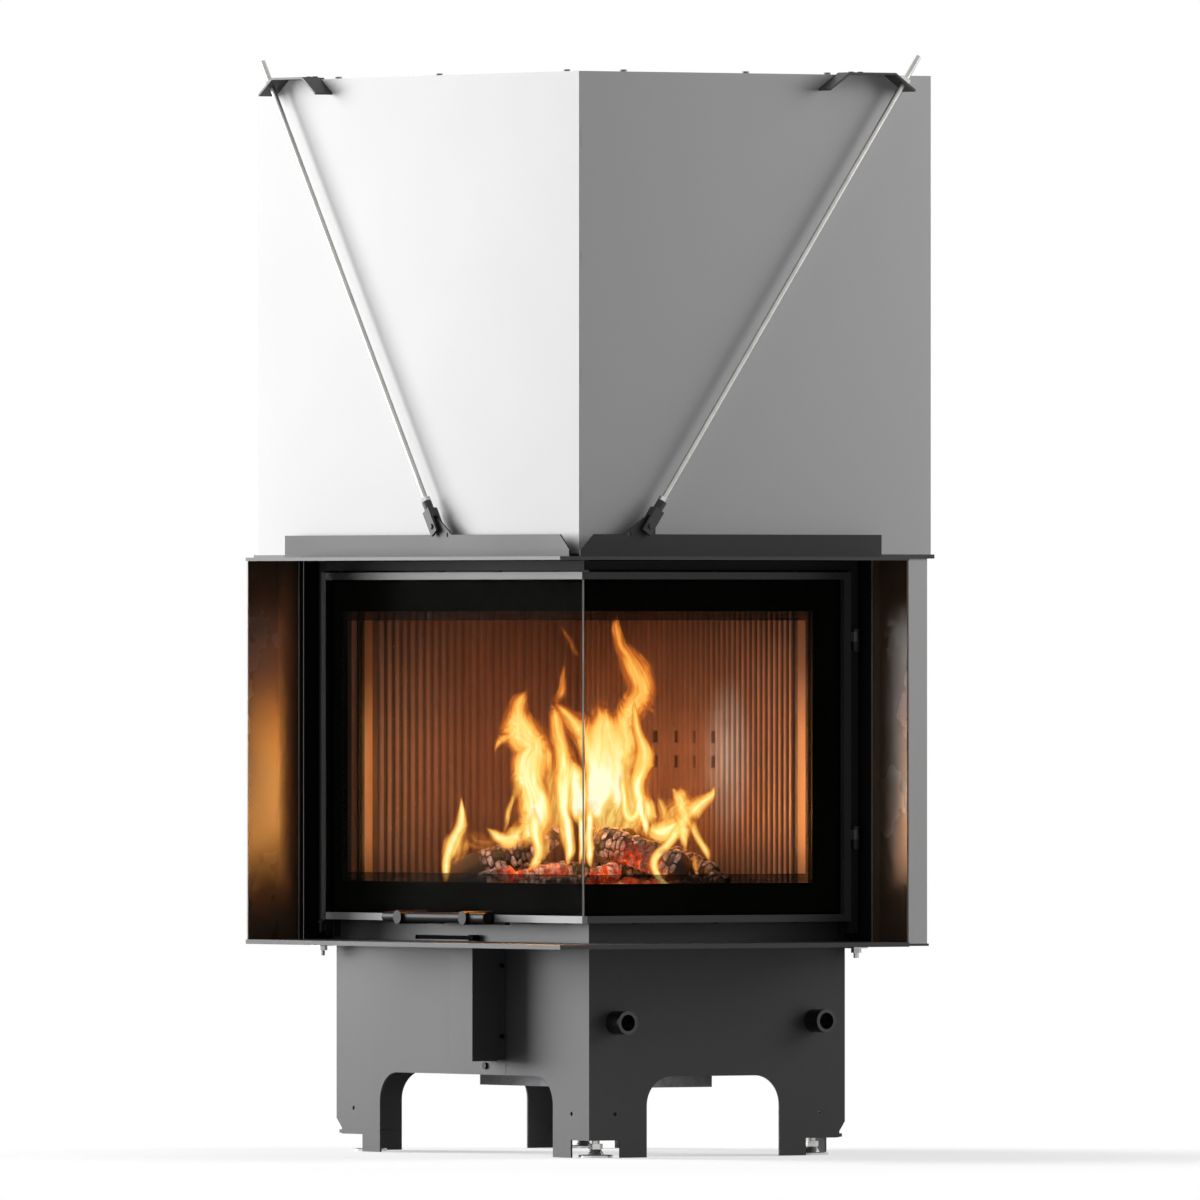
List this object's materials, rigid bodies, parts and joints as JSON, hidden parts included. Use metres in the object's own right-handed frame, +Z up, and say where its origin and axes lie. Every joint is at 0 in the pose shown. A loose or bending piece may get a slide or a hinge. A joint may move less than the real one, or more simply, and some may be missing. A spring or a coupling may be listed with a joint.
{
  "type": "corner fireplace insert",
  "caption": "Corner wood-burning insert with an L-shaped lift-up glass door, counterweighted in a tall sheet casing, on a plinth with levelling feet.",
  "frame": {"origin": "floor, under the centre of the whole insert's box", "axes": "+Z up; the long glass face looks to -Y and the short one to +X"},
  "size_m": [0.948, 0.7174, 1.5861],
  "materials": {
    "casing_sheet": "matt light grey",
    "grey_steel": "matt dark grey",
    "black_steel": "satin black",
    "zinc_steel": "zinc plated",
    "weight_iron": "raw",
    "fireclay": "matt",
    "clear_glass": "clear ceramic glass",
    "seal_rope": "woven glass rope"
  },
  "bodies": {
    "root": {"air_box": "grey_steel", "air_inlet_collar": "grey_steel", "baffle": "fireclay", "base_plate": "grey_steel", "bottom_flange": "grey_steel", "carrying_sockets": "black_steel", "casing_cap": "casing_sheet", "casing_front_panel": "casing_sheet", "casing_inner_wall": "casing_sheet", "casing_screws": "zinc_steel", "casing_side_panel": "casing_sheet", "control_cover": "grey_steel", "door_seal": "seal_rope", "face_frame": "grey_steel", "firebox_body": "black_steel", "flange_studs": "zinc_steel", "flue_collar": "black_steel", "guide_rails": "black_steel", "hearth_floor": "fireclay", "left_well": "casing_sheet", "left_wing": "black_steel", "lift_ropes": "zinc_steel", "lining_back": "fireclay", "lining_left": "fireclay", "lintel_angles": "grey_steel", "plinth_corner_panel": "grey_steel", "plinth_front_panel": "grey_steel", "plinth_rear_panel": "grey_steel", "pulley_brackets": "black_steel", "rear_well": "casing_sheet", "rear_wing": "black_steel", "rod_brackets": "grey_steel", "rod_clevises": "black_steel", "rod_nuts": "zinc_steel", "smoke_hood": "black_steel", "support_ledge": "grey_steel", "tension_rods": "zinc_steel", "top_flange": "grey_steel"},
    "door_carriage": {"carriage_frame": "black_steel"},
    "door_leaf": {"door_frame": "grey_steel", "glass_front": "clear_glass", "glass_side": "clear_glass", "handle_bar": "black_steel", "handle_posts": "black_steel"},
    "counterweight_left": {"counterweight_left": "weight_iron"},
    "counterweight_rear": {"counterweight_rear": "weight_iron"},
    "pulley_left_top": {"pulley_left_top": "zinc_steel"},
    "pulley_left_bottom": {"pulley_left_bottom": "zinc_steel"},
    "pulley_rear_top": {"pulley_rear_top": "zinc_steel"},
    "pulley_rear_bottom": {"pulley_rear_bottom": "zinc_steel"},
    "roller_left_lower": {"roller_left_lower": "zinc_steel"},
    "roller_left_upper": {"roller_left_upper": "zinc_steel"},
    "roller_rear_lower": {"roller_rear_lower": "zinc_steel"},
    "roller_rear_upper": {"roller_rear_upper": "zinc_steel"},
    "air_slide": {"air_slide": "black_steel", "air_knob": "black_steel"},
    "foot_front_right": {"levelling_foot_front_right": "zinc_steel"},
    "foot_front_left": {"levelling_foot_front_left": "zinc_steel"},
    "foot_rear_right": {"levelling_foot_rear_right": "zinc_steel"},
    "foot_rear_left": {"levelling_foot_rear_left": "zinc_steel"}
  },
  "joints": [
    {"name": "door_lift", "type": "slide", "parent": "root", "child": "door_carriage", "axis": [0, 0, 1], "range_m": [0, 0.48]},
    {"name": "door_swing", "type": "hinge", "parent": "door_carriage", "child": "door_leaf", "pos_m": [0.355, 0.23425, 0.5885], "axis": [0, 0, -1], "range_deg": [-85, 0]},
    {"name": "weight_left_slide", "type": "slide", "parent": "root", "child": "counterweight_left", "axis": [0, 0, -1], "range_m": [0, 0.48]},
    {"name": "weight_rear_slide", "type": "slide", "parent": "root", "child": "counterweight_rear", "axis": [0, 0, -1], "range_m": [0, 0.48]},
    {"name": "air_slide_travel", "type": "slide", "parent": "root", "child": "air_slide", "axis": [-1, 0, 0], "range_m": [0, 0.15]},
    {"name": "pulley_left_top_spin", "type": "hinge", "parent": "root", "child": "pulley_left_top", "pos_m": [-0.3825, -0.24175, 1.505], "axis": [0, -1, 0], "range_deg": [0, 825]},
    {"name": "pulley_left_bottom_spin", "type": "hinge", "parent": "root", "child": "pulley_left_bottom", "pos_m": [-0.3825, -0.24175, 0.905], "axis": [0, -1, 0], "range_deg": [0, 825]},
    {"name": "pulley_rear_top_spin", "type": "hinge", "parent": "root", "child": "pulley_rear_top", "pos_m": [0.357, 0.28475, 1.505], "axis": [-1, 0, 0], "range_deg": [0, 825]},
    {"name": "pulley_rear_bottom_spin", "type": "hinge", "parent": "root", "child": "pulley_rear_bottom", "pos_m": [0.357, 0.28475, 0.905], "axis": [-1, 0, 0], "range_deg": [0, 825]},
    {"name": "roller_left_lower_spin", "type": "hinge", "parent": "door_carriage", "child": "roller_left_lower", "pos_m": [-0.333, -0.21475, 0.438], "axis": [0, -1, 0], "range_deg": [0, 3600]},
    {"name": "roller_left_upper_spin", "type": "hinge", "parent": "door_carriage", "child": "roller_left_upper", "pos_m": [-0.333, -0.21475, 0.8], "axis": [0, -1, 0], "range_deg": [0, 3600]},
    {"name": "roller_rear_lower_spin", "type": "hinge", "parent": "door_carriage", "child": "roller_rear_lower", "pos_m": [0.33, 0.23525, 0.438], "axis": [-1, 0, 0], "range_deg": [0, 3600]},
    {"name": "roller_rear_upper_spin", "type": "hinge", "parent": "door_carriage", "child": "roller_rear_upper", "pos_m": [0.33, 0.23525, 0.8], "axis": [-1, 0, 0], "range_deg": [0, 3600]},
    {"name": "foot_front_right_screw", "type": "slide", "parent": "root", "child": "foot_front_right", "axis": [0, 0, -1], "range_m": [0, 0.04]},
    {"name": "foot_front_left_screw", "type": "slide", "parent": "root", "child": "foot_front_left", "axis": [0, 0, -1], "range_m": [0, 0.04]},
    {"name": "foot_rear_right_screw", "type": "slide", "parent": "root", "child": "foot_rear_right", "axis": [0, 0, -1], "range_m": [0, 0.04]},
    {"name": "foot_rear_left_screw", "type": "slide", "parent": "root", "child": "foot_rear_left", "axis": [0, 0, -1], "range_m": [0, 0.04]}
  ],
  "couplings": [
    {"joint": "weight_left_slide", "follows": "door_lift", "ratio": 1},
    {"joint": "weight_rear_slide", "follows": "door_lift", "ratio": 1},
    {"joint": "pulley_left_top_spin", "follows": "door_lift", "rad_per_m": 29.851},
    {"joint": "pulley_left_bottom_spin", "follows": "door_lift", "rad_per_m": 29.851},
    {"joint": "pulley_rear_top_spin", "follows": "door_lift", "rad_per_m": 29.851},
    {"joint": "pulley_rear_bottom_spin", "follows": "door_lift", "rad_per_m": 29.851},
    {"joint": "roller_left_lower_spin", "follows": "door_lift", "rad_per_m": 129.87},
    {"joint": "roller_left_upper_spin", "follows": "door_lift", "rad_per_m": 129.87},
    {"joint": "roller_rear_lower_spin", "follows": "door_lift", "rad_per_m": 129.87},
    {"joint": "roller_rear_upper_spin", "follows": "door_lift", "rad_per_m": 129.87}
  ]
}
